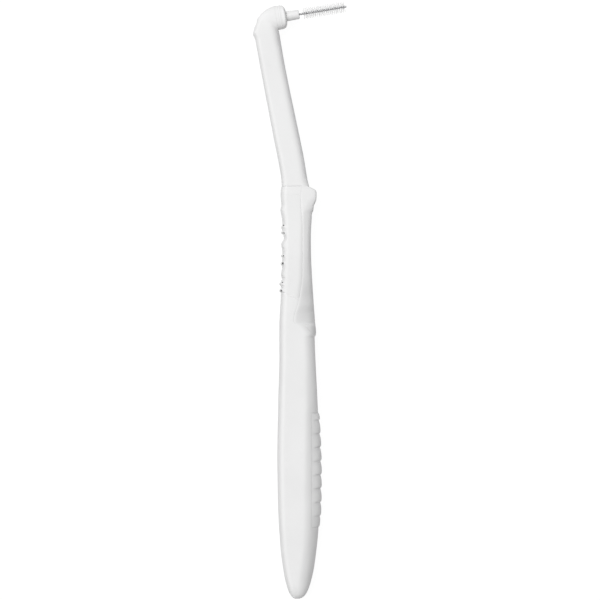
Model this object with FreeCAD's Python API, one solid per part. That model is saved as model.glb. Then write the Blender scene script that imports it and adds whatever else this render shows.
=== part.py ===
import FreeCAD, Part
import math
import os

V = FreeCAD.Vector

# Interdental brush with a long two-component handle, lying on its flat side.
# Frame: +Y runs up the handle to the head, +X to the brush side, +Z up from the
# resting plane.  Origin: centre of the footprint on the resting plane.
# All sizes in millimetres.

# ---- driving dimensions ----
THICK = 8.4                    # thickness across the two flat sides
ZM = THICK / 2                 # mid plane
SHIFT_X, SHIFT_Y = 0.04, -0.11    # brings the footprint's centre to the origin

# handle: Y, rear edge X, front edge X, half thickness before the flats are cut,
# squareness of the rear half and of the front half of the section
HANDLE = [
    (28.61, -4.81, 2.00, 3.15, 3.8, 3.6), (27.30, -4.91, 2.07, 3.22, 3.8, 3.6), (25.80, -4.93, 2.15, 3.31, 3.8, 3.6),
    (23.80, -4.83, 2.27, 3.44, 3.8, 3.5), (21.00, -4.66, 2.45, 3.63, 3.8, 3.4), (18.00, -4.53, 2.45, 3.83, 3.8, 3.2),
    (15.00, -4.49, 2.41, 4.01, 3.8, 3.1), (12.00, -4.53, 2.44, 4.15, 3.8, 3.0), (8.60, -4.61, 2.56, 4.26, 3.8, 2.8),
    (4.50, -4.76, 2.82, 4.30, 3.8, 2.5), (0.00, -4.91, 3.13, 4.30, 3.8, 2.3), (-4.00, -5.13, 3.40, 4.30, 3.8, 2.2),
    (-8.00, -5.24, 3.61, 4.30, 3.8, 2.3), (-12.50, -5.22, 3.79, 4.30, 3.8, 2.4), (-17.00, -5.24, 4.00, 4.30, 3.8, 2.4),
    (-22.00, -5.40, 4.25, 4.30, 3.8, 2.35), (-27.00, -5.52, 4.49, 4.30, 3.8, 2.25), (-32.00, -5.63, 4.72, 4.30, 3.8, 2.2),
    (-37.00, -5.74, 4.92, 4.30, 3.8, 2.2), (-42.00, -5.74, 5.05, 4.30, 3.8, 2.2), (-47.00, -5.65, 5.04, 4.30, 3.8, 2.2),
    (-52.00, -5.55, 4.95, 4.30, 3.8, 2.2), (-56.00, -5.38, 4.77, 4.30, 3.8, 2.2), (-60.00, -5.14, 4.50, 4.30, 3.7, 2.2),
    (-63.50, -4.86, 4.12, 4.30, 3.6, 2.2), (-66.50, -4.48, 3.72, 4.30, 3.4, 2.2), (-69.00, -4.09, 3.28, 4.28, 3.2, 2.2),
    (-71.00, -3.69, 2.79, 4.20, 3.0, 2.2), (-72.60, -3.27, 2.26, 4.02, 2.9, 2.2), (-73.80, -2.86, 1.72, 3.60, 2.8, 2.2),
    (-74.60, -2.38, 1.18, 3.00, 2.6, 2.2), (-75.10, -2.02, 0.66, 2.40, 2.5, 2.2), (-75.50, -1.35, -0.05, 1.10, 2.4, 2.2),
]
HANDLE_TOP = 28.61             # joint line between handle and neck
CORE_IN = 1.2                  # depth of the soft mouldings at the edges
CORE_SIDE = 0.8                # depth of the soft mouldings on the sides

# front finger pad: Y, front edge X
PAD_FRONT = [
    (28.61, 2.45), (25.80, 2.66), (23.80, 2.82), (21.60, 2.98), (19.50, 2.94), (17.20, 2.80), (14.50, 2.76),
    (11.50, 2.80), (8.60, 2.90), (5.50, 3.06), (2.50, 3.25), (-0.50, 3.45), (-3.50, 3.66), (-6.20, 3.86),
    (-7.60, 4.00), (-8.50, 4.02), (-9.30, 3.86), (-11.00, 3.80), (-14.00, 3.86),
]
# line where the front pad ends on the sides, from the top to the front edge
PAD_LINE = [
    (0.38, 28.61), (0.15, 25.83), (0.35, 22.79), (0.71, 18.99), (0.81, 13.93), (0.78, 8.86), (0.56, 4.56), (0.05, 1.01),
    (-0.85, -2.03), (-1.48, -4.20), (-1.60, -5.30), (-1.10, -5.95), (0.60, -6.20), (1.60, -6.80), (2.70, -7.90),
    (3.60, -8.75), (4.30, -9.20),
]
# finger stop at the top of the front pad
FLANGE = [
    (1.52, 28.50), (2.30, 28.55), (3.20, 28.12), (3.88, 27.66), (4.12, 26.95), (4.14, 25.80), (3.74, 24.30),
    (3.46, 22.90), (2.75, 20.90), (1.52, 20.90),
]
FLANGE_HALF = 3.2              # half width of the stop across the handle
# rear thumb grip: lower end line on the sides, from the rear edge to the front pad
REAR_LOW = [(-7.0, 1.62), (-5.3, 1.74), (-4.2, 1.86), (-2.79, 1.19), (-0.40, 0.10)]
REAR_TOP = 26.60               # upper end of the rear grip
RIB_Y = [18.40, 17.00, 11.15, 9.15, 4.00, 2.35]
RIB_HALF, RIB_PROUD = 0.42, 0.36

# palm pad: ends of the lobes, inner line, how far they stand out
LOBE_Y = [-28.55, -30.33, -33.80, -37.27, -40.74, -44.20, -47.67, -51.14, -54.61, -57.40]
PALM_TOP, PALM_LOW = LOBE_Y[0], LOBE_Y[-1]
PALM_INNER = 3.00
LOBE_ROOT, LOBE_CREST = 0.10, 0.46

# neck: axis line (lower end, upper end), then distance up it, rear edge, front edge, half thickness
NECK_LOW, NECK_HIGH = (-1.255, 28.61), (-8.105, 65.83)
NECK = [
    (-9.0, -3.36, 3.44, 3.10), (-4.0, -3.34, 3.44, 3.02), (0.0, -3.30, 3.44, 2.95), (3.0, -3.04, 3.50, 2.80),
    (6.0, -2.98, 3.58, 2.70), (9.0, -3.00, 3.57, 2.62), (12.0, -3.07, 3.50, 2.55), (16.0, -3.09, 3.40, 2.46),
    (20.0, -3.12, 3.29, 2.38), (25.0, -3.16, 3.19, 2.30), (31.0, -3.17, 3.08, 2.26), (36.0, -3.18, 3.13, 2.26),
    (38.4, -3.17, 3.13, 2.27), (39.1, -3.30, 3.12, 2.28), (39.8, -3.46, 3.12, 2.28), (40.4, -3.33, 3.10, 2.26),
    (41.0, -3.04, 3.05, 2.22), (41.7, -2.68, 2.97, 2.17), (42.5, -2.16, 2.80, 2.08), (43.4, -1.70, 2.50, 1.88),
    (44.0, -1.22, 2.14, 1.60), (44.5, -0.55, 1.55, 1.10),
]
TANG = (3.2, 3.0, 14.5)        # width, thickness, depth in the handle
TANG_X = -1.35

# brush axis: a point on it, its rise above square, stations along it from the seat
WIRE_RISE = 9.37
AXIS_PT = (0.25, 72.40)        # the point where the wire leaves the nozzle
SEAT_BACK = 6.33               # from that point back to the seat plane
# head housing and collar: station, half height, half thickness
BOSS = [(-4.96, 0.24, 0.45), (-4.80, 0.55, 0.95), (-4.43, 0.95, 1.45), (-3.83, 1.44, 1.84), (-3.25, 1.88, 2.04),
        (-2.67, 2.24, 2.16), (-2.11, 2.50, 2.22), (-1.57, 2.70, 2.25), (-1.04, 2.84, 2.27), (-0.49, 2.97, 2.28),
        (0.0, 3.01, 2.28)]
COLLAR = [(0.0, 2.94, 2.23), (0.06, 3.02, 2.30), (0.34, 3.04, 2.31), (0.66, 3.04, 2.31), (0.80, 2.98, 2.27),
          (0.94, 3.03, 2.30), (1.20, 3.00, 2.28), (1.30, 2.95, 2.24), (1.46, 2.96, 2.25), (1.66, 2.90, 2.22),
          (1.87, 2.81, 2.30), (2.08, 2.67, 2.30), (2.25, 2.47, 2.25), (2.40, 2.17, 2.05), (2.52, 1.80, 1.76),
          (2.61, 1.45, 1.45)]
PLUG_R, PLUG_LEN = 1.24, 3.6
PLUG_FLAT = 0.92               # distance of the plug's flat from the axis
SOCKET_R, SOCKET_LEN, SOCKET_FLAT = 1.29, 3.75, 0.97
NOZZLE = (2.61, 5.95, 1.23, 1.17)      # start, end, base radius, end radius
NOZZLE_ROOT = (0.9, 0.75)              # depth into the collar, radius there
WIRE_R, WIRE_BACK, WIRE_TIP = 0.30, -2.6, 17.98
BRISTLE = (6.70, 17.80, 1.50, 0.32)    # start, end, outer radius, inner radius

os.makedirs("parts", exist_ok=True)


def lerp(table, y, col=1):
    """Value of a column at y in a table sorted by falling y."""
    if y >= table[0][0]:
        return table[0][col]
    for a, b in zip(table, table[1:]):
        if y >= b[0]:
            t = (a[0] - y) / (a[0] - b[0])
            return a[col] + (b[col] - a[col]) * t
    return table[-1][col]


def ring(origin, ux, uz, a, b, n, count=36, m=None):
    """Closed superellipse curve with half axes a along ux and b along uz; n and m are
    the squareness of the half where ux is falling and of the half where it is rising."""
    pts = []
    for i in range(count):
        t = 2 * math.pi * (i + 0.5) / count
        c, s = math.cos(t), math.sin(t)
        e = n if c < 0 or m is None else m
        r = (abs(c / a) ** e + abs(s / b) ** e) ** (-1.0 / e)
        pts.append(origin + ux * (r * c) + uz * (r * s))
    curve = Part.BSplineCurve()
    curve.interpolate(Points=pts, PeriodicFlag=True)
    return Part.Wire([curve.toShape()])


def section(y, xl, xr, b, n=3.0, m=3.0):
    return ring(V((xl + xr) / 2, y, ZM), V(1, 0, 0), V(0, 0, 1), (xr - xl) / 2, b, n, 36, m)


def loft(wires):
    return Part.makeLoft(wires, True, False, False, 5)


def slab(low=0.0, high=THICK):
    """Everything between two levels."""
    return Part.makeBox(200, 400, high - low, V(-100, -200, low))


def spline(points):
    curve = Part.BSplineCurve()
    curve.interpolate(Points=[V(x, y, 0) for x, y in points])
    return curve.toShape()


def line(p, q):
    return Part.LineSegment(V(p[0], p[1], 0), V(q[0], q[1], 0)).toShape()


def prism(edges, low=-5.0, high=THICK + 5.0):
    """Closed outline in the XY plane, carried through the thickness."""
    wire = Part.Wire(Part.__sortEdges__(edges))
    face = Part.Face(wire)
    face.translate(V(0, 0, low))
    return face.extrude(V(0, 0, high - low))


def polygon_prism(points, low=-5.0, high=THICK + 5.0):
    loop = [V(x, y, low) for x, y in points]
    face = Part.Face(Part.makePolygon(loop + loop[:1]))
    return face.extrude(V(0, 0, high - low))


def one(shape):
    """The single largest solid of a shape."""
    solids = sorted(shape.Solids, key=lambda s: -s.Volume)
    return solids[0]


# ---- brush axis ----
D = V(math.cos(math.radians(WIRE_RISE)), math.sin(math.radians(WIRE_RISE)), 0)
SEAT = V(AXIS_PT[0], AXIS_PT[1], ZM) - D * SEAT_BACK
ACROSS = V(-D.y, D.x, 0)


def turned(profile):
    """Solid of revolution about the brush axis from (station, radius) pairs."""
    pts = [SEAT + D * t + ACROSS * r for t, r in profile]
    if profile[0][1] > 1e-6:
        pts.insert(0, SEAT + D * profile[0][0])
    if profile[-1][1] > 1e-6:
        pts.append(SEAT + D * profile[-1][0])
    face = Part.Face(Part.makePolygon(pts + pts[:1]))
    return one(face.revolve(SEAT, D, 360))


def flattened(profile, n):
    """Solid along the brush axis from (station, half height, half thickness) rows."""
    rings = [ring(SEAT + D * t, ACROSS, V(0, 0, 1), r, rz, n, 32) for t, r, rz in profile]
    return one(Part.makeLoft(rings, True, True))


def rod(start, end, r):
    return Part.makeCylinder(r, end - start, SEAT + D * start, D)


def flatted(shape, distance, start, end):
    """Cuts one flat on the neck side of a round plug or socket tool."""
    box = Part.makeBox(6, 12, 3, V(-3, -6, 0))
    side = V(0, 0, 0) - ACROSS
    rot = FreeCAD.Rotation(V(0, 0, 1), side)
    box.Placement = FreeCAD.Placement(SEAT + D * ((start + end) / 2) + side * distance, rot)
    return one(shape.cut(box))


# ---- handle ----
envelope = loft([section(*row) for row in HANDLE])
flats = slab()

core_rows = [
    (y, xl + CORE_IN, xr - CORE_IN, b - CORE_SIDE, n, m) for y, xl, xr, b, n, m in HANDLE if y <= 28.7 and y > -64
]
core = loft([section(*row) for row in core_rows])

front_line = [spline(PAD_LINE)]
first, last = PAD_LINE[0], PAD_LINE[-1]
front_region = prism(
    front_line + [line(last, (12, last[1])), line((12, last[1]), (12, 34)), line((12, 34), (first[0], 34)),
                  line((first[0], 34), first)]
)
rear_region = prism(
    [spline(REAR_LOW), line(REAR_LOW[-1], (3.0, REAR_LOW[-1][1])), line((3.0, REAR_LOW[-1][1]), (3.0, REAR_TOP)),
     line((3.0, REAR_TOP), (-12, REAR_TOP)), line((-12, REAR_TOP), (-12, REAR_LOW[0][1])),
     line((-12, REAR_LOW[0][1]), REAR_LOW[0])]
).cut(front_region)
palm_region = polygon_prism(
    [(PALM_INNER, PALM_LOW), (12, PALM_LOW), (12, PALM_TOP), (PALM_INNER, PALM_TOP)]
)

tang = Part.makeBox(TANG[0], TANG[2] + 2, TANG[1], V(TANG_X - TANG[0] / 2, HANDLE_TOP - TANG[2], ZM - TANG[1] / 2))
tang = tang.makeFillet(0.5, [e for e in tang.Edges if e.Length > TANG[2]])

body = one(envelope.common(flats))
palm_core_rows = [(y, xl, xr - 0.9, b, n, m) for y, xl, xr, b, n, m in HANDLE if y > -73]
palm_core = loft([section(*row) for row in palm_core_rows])
handle_body = body.cut(front_region.cut(core)).cut(rear_region.cut(core)).cut(palm_region.cut(palm_core)).cut(tang)
handle_body = one(handle_body)

# ---- front finger pad ----
pad_rows = []
for y, x in PAD_FRONT:
    pad_rows.append((y, lerp(HANDLE, y, 1), max(x, lerp(HANDLE, y, 2)), lerp(HANDLE, y, 3), lerp(HANDLE, y, 4),
                     lerp(HANDLE, y, 5)))
pad_outer = loft([section(*row) for row in pad_rows])
pad_outer = pad_outer.common(Part.makeBox(60, 50, 20, V(-30, -9.30, -5)))
flange = polygon_prism(FLANGE, ZM - FLANGE_HALF, ZM + FLANGE_HALF)
long_edges = [e for e in flange.Edges
              if e.BoundBox.ZLength < 0.01 and min(v.X for v in e.Vertexes) > 2.0]
try:
    flange = flange.makeFillet(0.6, long_edges)
except Exception as error:
    print("flange left square:", error)
front_pad = pad_outer.common(front_region).fuse(flange.common(front_region)).cut(core)
front_pad = front_pad.cut(slab(-20, 0)).cut(slab(THICK, THICK + 20))
front_finger_pad = one(front_pad.removeSplitter())

# ---- rear thumb grip ----
rear = body.common(rear_region).cut(core)
ribs = None
for y in RIB_Y:
    xl, xr, b = lerp(HANDLE, y, 1), lerp(HANDLE, y, 2), lerp(HANDLE, y, 3)
    wires = []
    for dy, out in ((-RIB_HALF, 0.02), (-RIB_HALF * 0.55, RIB_PROUD * 0.85), (0, RIB_PROUD),
                    (RIB_HALF * 0.55, RIB_PROUD * 0.85), (RIB_HALF, 0.02)):
        wires.append(section(y + dy, xl - out, xr + out, b + out * 0.5, lerp(HANDLE, y, 4), lerp(HANDLE, y, 5)))
    rib = loft(wires).common(polygon_prism([(-12, y - 2), (xl + 1.5, y - 2), (xl + 1.5, y + 2), (-12, y + 2)]))
    ribs = rib if ribs is None else ribs.fuse(rib)
rear = rear.fuse(ribs.common(rear_region).cut(core)).cut(slab(-20, 0)).cut(slab(THICK, THICK + 20))
rear_thumb_grip = one(rear.removeSplitter())

# ---- palm pad ----
palm_rows = [(y, xl, xr + LOBE_CREST + 0.05, b, n, m) for y, xl, xr, b, n, m in HANDLE if -66 < y < -20]
palm_outer = loft([section(*row) for row in palm_rows])
saw = [(0.0, PALM_TOP)]
for i, (top, low) in enumerate(zip(LOBE_Y, LOBE_Y[1:])):
    crest = LOBE_CREST * (0.75 if i == len(LOBE_Y) - 2 else 1.0)
    for f, out in ((0.0, LOBE_ROOT), (0.15, LOBE_ROOT + 0.4 * (crest - LOBE_ROOT)), (0.32, crest - 0.09),
                   (0.55, crest), (0.78, crest), (0.92, crest - 0.10)):
        y = top - f * (top - low)
        saw.append((lerp(HANDLE, y, 2) + out, y))
    saw.append((lerp(HANDLE, low + 0.02, 2) + LOBE_ROOT, low + 0.02))
saw.append((0.0, PALM_LOW))
palm_pad = palm_outer.common(palm_region).common(polygon_prism(saw)).cut(palm_core)
palm_pad = palm_pad.cut(slab(-20, 0)).cut(slab(THICK, THICK + 20))
palm_pad = one(palm_pad)

# ---- neck with the head housing ----
low, high = V(NECK_LOW[0], NECK_LOW[1], ZM), V(NECK_HIGH[0], NECK_HIGH[1], ZM)
along = (high - low).normalize()
side = V(along.y, -along.x, 0)
length = (high - low).Length


def neck_ring(s, rear, front, b):
    middle = low + along * s + side * ((rear + front) / 2)
    return ring(middle, side, V(0, 0, 1), (front - rear) / 2, b, 3.6, 36, 3.0)


neck = loft([neck_ring(*row) for row in NECK])
neck = neck.common(Part.makeBox(60, 60, 20, V(-40, HANDLE_TOP, -5)))
boss = flattened(BOSS, 3.2)
# the rear of the housing closes the corner between neck and boss
neck = neck.fuse(boss).fuse(tang.common(Part.makeBox(20, TANG[2] + 1.0, 20, V(-10, HANDLE_TOP - TANG[2], -5))))
neck = neck.cut(rod(-0.06, 8.0, 3.40))
socket = flatted(rod(-SOCKET_LEN, 1.0, SOCKET_R), SOCKET_FLAT, -SOCKET_LEN, 1.0)
neck_stem = one(neck.cut(socket).removeSplitter())

# ---- brush insert ----
hub = flattened(COLLAR, 2.9)
plug = rod(-PLUG_LEN, 0.3, PLUG_R - 0.06)
for t in (-3.2, -1.9, -0.6):
    plug = plug.fuse(rod(t - 0.3, t + 0.3, PLUG_R))
plug = plug.common(turned([(-PLUG_LEN, PLUG_R - 0.35), (-PLUG_LEN + 0.35, PLUG_R), (0.4, PLUG_R)]))
plug = flatted(plug, PLUG_FLAT, -PLUG_LEN, 0.0) if PLUG_FLAT < PLUG_R else plug
hub = hub.fuse(plug)
root = rod(NOZZLE[0] - NOZZLE_ROOT[0], NOZZLE[0] + 0.2, NOZZLE_ROOT[1])
wire_hole = rod(WIRE_BACK, 20, WIRE_R)
brush_hub = one(hub.cut(root).cut(wire_hole).removeSplitter())

nozzle = turned([(NOZZLE[0] - NOZZLE_ROOT[0], NOZZLE_ROOT[1]), (NOZZLE[0], NOZZLE_ROOT[1]),
                 (NOZZLE[0], NOZZLE[2]), (NOZZLE[1] - 0.25, NOZZLE[3]), (NOZZLE[1], NOZZLE[3] - 0.22)])
wire_sleeve = one(nozzle.cut(wire_hole))

brush_wire = turned([(WIRE_BACK, WIRE_R), (WIRE_TIP - 0.12, WIRE_R), (WIRE_TIP, WIRE_R - 0.12)])

t0, t1, ro, ri = BRISTLE
sleeve = turned([(t0, ro - 0.25), (t0 + 0.25, ro), (t1 - 0.15, ro), (t1, ro - 0.12)])
bristles = one(sleeve.cut(rod(t0 - 1, t1 + 1, ri)))

NODES = {
    "handle_body": handle_body, "front_finger_pad": front_finger_pad, "rear_thumb_grip": rear_thumb_grip,
    "palm_pad": palm_pad, "neck_stem": neck_stem, "brush_hub": brush_hub, "wire_sleeve": wire_sleeve,
    "brush_wire": brush_wire, "bristles": bristles,
}
box = FreeCAD.BoundBox()
for name, shape in NODES.items():
    shape = shape.copy()
    shape.translate(V(SHIFT_X, SHIFT_Y, 0))
    b = shape.BoundBox
    box.add(b)
    print(name, "valid", shape.isValid(), "solids", len(shape.Solids), "volume %.2f" % shape.Volume,
          "box %.3f %.3f %.3f  %.3f %.3f %.3f" % (b.XMin, b.YMin, b.ZMin, b.XMax, b.YMax, b.ZMax))
    shape.exportStep("parts/%s.step" % name)
print("whole %.3f %.3f %.3f  %.3f %.3f %.3f" % (box.XMin, box.YMin, box.ZMin, box.XMax, box.YMax, box.ZMax),
      "centre %.3f %.3f" % ((box.XMin + box.XMax) / 2, (box.YMin + box.YMax) / 2))
seat = SEAT + V(SHIFT_X, SHIFT_Y, 0)
print("seat %.4f %.4f %.4f axis %.6f %.6f" % (seat.x, seat.y, seat.z, D.x, D.y))
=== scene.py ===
import math

import bmesh
import bpy
import numpy as np
from mathutils import Matrix, Vector


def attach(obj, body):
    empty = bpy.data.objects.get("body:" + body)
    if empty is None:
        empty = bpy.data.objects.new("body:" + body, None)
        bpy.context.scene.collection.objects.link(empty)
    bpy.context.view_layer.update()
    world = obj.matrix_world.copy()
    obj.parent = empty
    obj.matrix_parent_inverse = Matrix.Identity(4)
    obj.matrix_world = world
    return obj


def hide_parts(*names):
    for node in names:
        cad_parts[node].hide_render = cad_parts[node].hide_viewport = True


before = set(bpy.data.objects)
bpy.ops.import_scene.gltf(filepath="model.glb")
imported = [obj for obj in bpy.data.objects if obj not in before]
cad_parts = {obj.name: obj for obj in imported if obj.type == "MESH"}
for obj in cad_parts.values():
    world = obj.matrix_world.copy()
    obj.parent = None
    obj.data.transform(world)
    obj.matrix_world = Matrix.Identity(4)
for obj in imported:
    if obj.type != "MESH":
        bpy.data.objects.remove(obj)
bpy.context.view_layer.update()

MM = 0.001
SHIFT = np.array([0.04, -0.11, 0.0])
THICK = 8.4
ZM = THICK / 2

# ------------------------------------------------------------------ shape data, mm
TOP = 28.61
END = -75.52
# rear edge of the handle: Y, X
REAR = np.array([
    (28.61, -4.86), (27.0, -5.03), (25.7, -5.02), (24.0, -4.88), (22.0, -4.77), (20.0, -4.65), (18.0, -4.58),
    (16.0, -4.53), (14.0, -4.55), (12.0, -4.58), (10.0, -4.62), (8.0, -4.68), (6.0, -4.76), (4.0, -4.83),
    (2.0, -4.89), (0.0, -4.95), (-1.65, -5.03), (-3.16, -5.14), (-4.68, -5.23), (-7.0, -5.29), (-10.0, -5.29),
    (-13.0, -5.26), (-16.0, -5.27), (-18.4, -5.33), (-21.0, -5.42), (-24.4, -5.53), (-28.0, -5.59),
    (-31.0, -5.65), (-34.0, -5.73), (-37.0, -5.79), (-40.0, -5.81), (-43.0, -5.77), (-46.0, -5.72), (-49.0, -5.67),
    (-52.0, -5.60), (-55.0, -5.49), (-57.5, -5.35), (-60.0, -5.19), (-62.4, -5.02), (-64.0, -4.87), (-65.5, -4.68),
    (-67.0, -4.46), (-68.5, -4.23), (-70.0, -3.95), (-71.5, -3.60), (-73.0, -3.17), (-74.0, -2.78), (-74.57, -2.41),
    (-75.1, -2.02), (-75.4, -1.52), (-75.52, -0.85),
])
# front edge of the hard body: Y, X (under the finger pad it lies below the surface)
FRONT = np.array([
    (28.61, 2.05), (24.0, 2.30), (20.0, 2.55), (16.0, 2.45), (12.0, 2.48), (8.0, 2.64), (4.0, 2.90), (0.0, 3.18),
    (-4.0, 3.46), (-8.0, 3.66), (-9.5, 3.75), (-12.3, 3.83), (-15.3, 3.96), (-18.4, 4.12), (-21.4, 4.27),
    (-24.4, 4.42), (-27.5, 4.56), (-33.0, 4.82), (-38.0, 5.00), (-43.0, 5.12), (-48.0, 5.08), (-53.0, 5.03),
    (-57.4, 4.74), (-59.4, 4.62), (-60.9, 4.47), (-62.4, 4.30), (-63.9, 4.12), (-65.5, 3.92), (-67.0, 3.71),
    (-68.5, 3.44), (-70.0, 3.10), (-71.5, 2.68), (-73.0, 2.12), (-74.1, 1.56), (-74.7, 1.10), (-75.1, 0.66),
    (-75.35, 0.26), (-75.52, -0.42),
])
# half thickness before the flats: Y, Z
HALF = np.array([
    (28.61, 3.15), (27.0, 3.24), (24.0, 3.42), (20.0, 3.70), (14.0, 4.06), (8.0, 4.28), (4.0, 4.32), (-66.0, 4.32),
    (-70.0, 4.29), (-71.5, 4.22), (-72.7, 4.06), (-73.5, 3.84), (-74.2, 3.52), (-74.7, 3.12), (-75.05, 2.68),
    (-75.3, 2.10), (-75.42, 1.60), (-75.49, 1.05), (-75.52, 0.55),
])
# fall of the front side from the flat to the edge: Y, width of the fall, then its angle at six places across it
FALL_AT = np.array([0.0, 0.12, 0.30, 0.50, 0.70, 0.85, 1.0])
FALL = np.array([
    (28.61, 1.20, 3, 5, 8, 12, 17, 26), (26.2, 1.20, 3, 5, 8, 12, 17, 26), (24.7, 2.30, 4, 7, 10, 14, 18, 28),
    (23.2, 2.40, 7, 12, 17, 24, 32, 45), (22.2, 2.40, 13, 19, 23, 32, 42, 55), (21.0, 2.40, 16, 22, 23, 34, 46, 58),
    (17.6, 2.40, 20, 26, 23, 36, 51, 61), (12.5, 2.50, 20, 26, 22, 41, 57, 67), (7.5, 2.90, 18, 23, 27, 39, 55, 68),
    (5.4, 3.10, 18, 24, 27, 37, 52, 66), (2.9, 3.60, 20, 24, 32, 39, 53, 68), (0.9, 4.00, 19, 25, 35, 40, 53, 68),
    (-1.1, 4.05, 17, 24, 30, 40, 52, 66), (-3.2, 5.00, 18, 24, 30, 39, 52, 66), (-4.8, 5.60, 19, 24, 29, 38, 53, 66), (-5.6, 5.70, 17, 22, 28, 38, 53, 67),
    (-6.3, 4.40, 10, 20, 26, 36, 54, 68), (-7.4, 3.40, 14, 25, 36, 50, 64, 73), (-8.3, 2.90, 13, 24, 38, 56, 70, 77), (-9.3, 2.70, 12, 23, 36, 49, 57, 66),
    (-15.3, 2.70, 11, 23, 34, 46, 55, 64), (-20.4, 3.05, 11, 22, 32, 43, 53, 62), (-25.4, 3.15, 13, 26, 35, 45, 54, 62),
    (-30.5, 3.50, 16, 29, 39, 48, 56, 64), (-35.6, 3.80, 15, 29, 40, 50, 62, 70), (-40.6, 4.00, 17, 29, 40, 50, 61, 70),
    (-48.0, 4.15, 14, 27, 40, 51, 62, 70), (-55.8, 3.95, 12, 24, 38, 50, 60, 68), (-60.9, 3.70, 13, 23, 38, 48, 58, 66),
    (-64.9, 3.60, 15, 24, 35, 49, 60, 68), (-70.0, 3.45, 14, 22, 33, 48, 60, 68), (-75.52, 1.3, 14, 24, 34, 46, 56, 64),
])
REAR_FALL = (1.55, 18, 34, 60, 74, 77, 79)
NECK_FRONT = (1.55, 10, 19, 32, 46, 57, 67)
NECK_FRONT_TOP = (1.85, 13, 24, 40, 57, 69, 76)
NECK_FRONT_LOW = (1.60, 8, 14, 21, 29, 38, 50)
NECK_REAR = (1.00, 20, 48, 66, 72, 76, 78)
# front edge of the finger pad: Y, X
PAD_FRONT = np.array([
    (28.70, 2.20), (28.55, 2.38), (28.36, 2.72), (28.12, 3.22), (27.88, 3.66), (27.62, 3.98), (27.25, 4.12), (26.6, 4.17),
    (25.75, 4.16), (25.2, 4.07), (24.7, 3.86), (24.2, 3.62), (23.6, 3.46), (22.95, 3.40), (22.5, 3.29), (22.1, 3.10),
    (21.6, 3.00), (20.4, 2.94), (18.1, 2.80), (16.6, 2.75), (15.0, 2.74), (13.5, 2.75), (12.0, 2.77), (10.5, 2.81),
    (9.0, 2.87), (7.5, 2.94), (6.0, 3.02), (4.4, 3.12), (2.9, 3.21), (1.4, 3.31), (-0.1, 3.41), (-1.65, 3.52),
    (-3.2, 3.64), (-4.7, 3.75), (-6.2, 3.88), (-7.2, 4.00), (-8.0, 4.07), (-8.5, 4.06), (-8.9, 3.98), (-9.20, 3.84),
])
# where the finger pad ends on the sides
PAD_LINE = np.array([
    (0.38, 28.61), (0.15, 25.83), (0.35, 22.79), (0.71, 18.99), (0.81, 13.93), (0.78, 8.86), (0.56, 4.56), (0.05, 1.01),
    (-0.85, -2.03), (-1.48, -4.20), (-1.60, -5.30), (-1.10, -5.95), (0.60, -6.20), (1.60, -6.80), (2.70, -7.90),
    (3.60, -8.75), (4.30, -9.20),
])
REAR_LOW = np.array([(-7.0, 1.62), (-5.3, 1.74), (-4.2, 1.86), (-2.79, 1.19), (-0.40, 0.10)])
REAR_TOP = 26.60
# edge of the thumb grip against the plain rear line: Y, distance outward
GRIP = np.array([
    (26.6, 0.02), (25.4, -0.06), (24.2, -0.10), (23.4, 0.05), (22.6, 0.19), (21.8, 0.12), (21.1, 0.0), (20.2, -0.08),
    (19.4, -0.10), (18.4, -0.04), (17.1, -0.06), (16.5, -0.24), (15.6, -0.42), (15.0, -0.18), (14.5, 0.16),
    (13.7, 0.24), (13.1, 0.10), (12.6, -0.02), (11.6, -0.06), (11.0, -0.04), (10.2, -0.06), (9.2, -0.02), (8.1, -0.08),
    (7.2, 0.03), (6.3, 0.13), (5.9, 0.02), (5.4, -0.20), (4.9, -0.02), (4.0, 0.04), (3.1, 0.02), (2.4, 0.02), (1.5, -0.06),
])
# cross ribs on it: Y, height, half width
RIBS = [(18.40, 0.26, 0.44), (17.00, 0.34, 0.40), (11.15, 0.28, 0.40), (9.15, 0.36, 0.44), (4.00, 0.44, 0.44),
        (2.35, 0.42, 0.42)]
# small blind holes at the ends of the ribs: Y, distance in from the rear edge, radius, stretch along the handle
HOLES = [(16.72, 0.38, 0.33, 1.50), (9.24, 0.25, 0.25, 1.25), (2.36, 0.13, 0.23, 1.1), (18.82, 0.44, 0.17, 1.3),
         (11.12, 0.38, 0.14, 1.2), (4.41, 0.34, 0.14, 1.2)]
# palm pad: ends of the lobes, inner line
LOBE_Y = [-28.55, -30.33, -33.80, -37.27, -40.74, -44.20, -47.67, -51.14, -54.61, -57.40]
PALM_INNER = 3.00
# neck: axis, then distance up it, rear, front, half thickness
NECK_LOW, NECK_HIGH = np.array([-1.255, 28.61, ZM]), np.array([-8.105, 65.83, ZM])
NECK = np.array([
    (-0.02, -3.30, 3.58, 2.95), (0.6, -3.25, 3.46, 2.91), (1.2, -3.20, 3.40, 2.88), (3.0, -3.04, 3.43, 2.80), (6.0, -2.98, 3.51, 2.70),
    (9.0, -3.00, 3.50, 2.62), (12.0, -3.07, 3.43, 2.55), (16.0, -3.09, 3.33, 2.46), (20.0, -3.12, 3.23, 2.38),
    (25.0, -3.16, 3.10, 2.30), (31.0, -3.17, 3.03, 2.26), (36.0, -3.18, 3.08, 2.26), (38.4, -3.15, 3.12, 2.27),
    (39.1, -3.30, 3.12, 2.28), (39.8, -3.47, 3.12, 2.28), (40.4, -3.33, 3.10, 2.26), (40.9, -3.08, 3.06, 2.24),
    (41.6, -2.74, 2.98, 2.18), (42.5, -2.14, 2.80, 2.08), (43.4, -1.72, 2.50, 1.88), (43.9, -1.33, 2.20, 1.66),
    (44.4, -0.74, 1.70, 1.25), (44.6, -0.30, 1.30, 0.90),
])
# brush axis
RISE = math.radians(9.37)
D = np.array([math.cos(RISE), math.sin(RISE), 0.0])
ACROSS = np.array([-D[1], D[0], 0.0])
ZAX = np.array([0.0, 0.0, 1.0])
SEAT = np.array([0.25, 72.40, ZM]) - D * 6.33
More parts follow.
